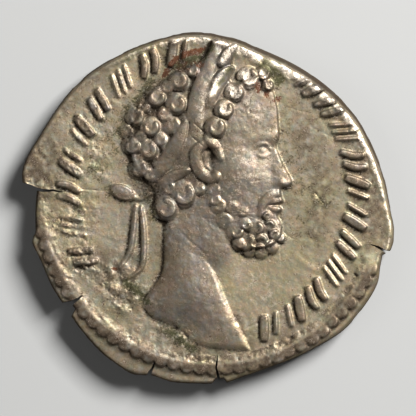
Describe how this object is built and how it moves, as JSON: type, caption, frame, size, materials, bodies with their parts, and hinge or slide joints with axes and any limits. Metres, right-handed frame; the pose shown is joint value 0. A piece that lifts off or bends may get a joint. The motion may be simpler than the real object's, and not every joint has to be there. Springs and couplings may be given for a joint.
{
  "type": "ancient coin",
  "caption": "Struck silver coin lying on its reverse: bearded head in a laurel wreath, beaded border and uneven cracked edge.",
  "frame": {"origin": "centre of the coin's outline box, on the surface that the coin lies on", "axes": "+Z out of the obverse, +Y towards the top of the head, +X the way the head faces"},
  "size_m": [0.018, 0.017, 0.0019],
  "materials": {
    "silver": "worn struck silver with grey-brown and olive toning, brighter on raised edges"
  },
  "bodies": {
    "root": {"denarius": "silver"}
  },
  "joints": []
}
